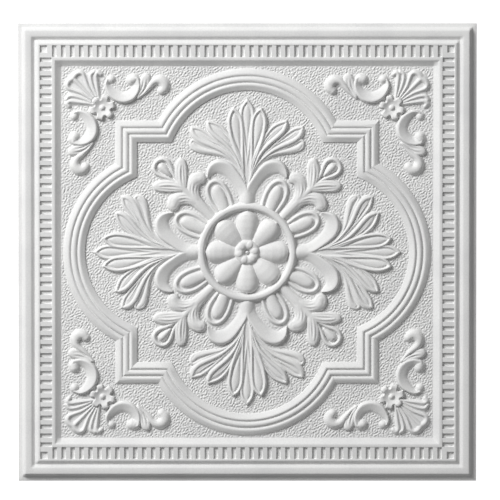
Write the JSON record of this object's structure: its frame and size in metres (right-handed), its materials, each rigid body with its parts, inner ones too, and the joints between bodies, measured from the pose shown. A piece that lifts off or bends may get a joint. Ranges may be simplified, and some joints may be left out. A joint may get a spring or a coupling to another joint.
{
  "type": "foam ceiling tile",
  "caption": "Square moulded white foam ceiling tile with a dentil border, a quatrefoil moulding, a rosette with palmettes, and scroll ornament in the corners; glued to a ceiling by its flat back.",
  "frame": {"origin": "centre of the flat glue face", "axes": "+Z out of the ornamented face, +X and +Y along the tile's edges"},
  "size_m": [0.5, 0.5, 0.0108],
  "materials": {
    "polystyrene_foam": "matt moulded skin, stippled ground between the raised ornament"
  },
  "bodies": {
    "root": {"ceiling_tile": "polystyrene_foam"}
  },
  "joints": []
}
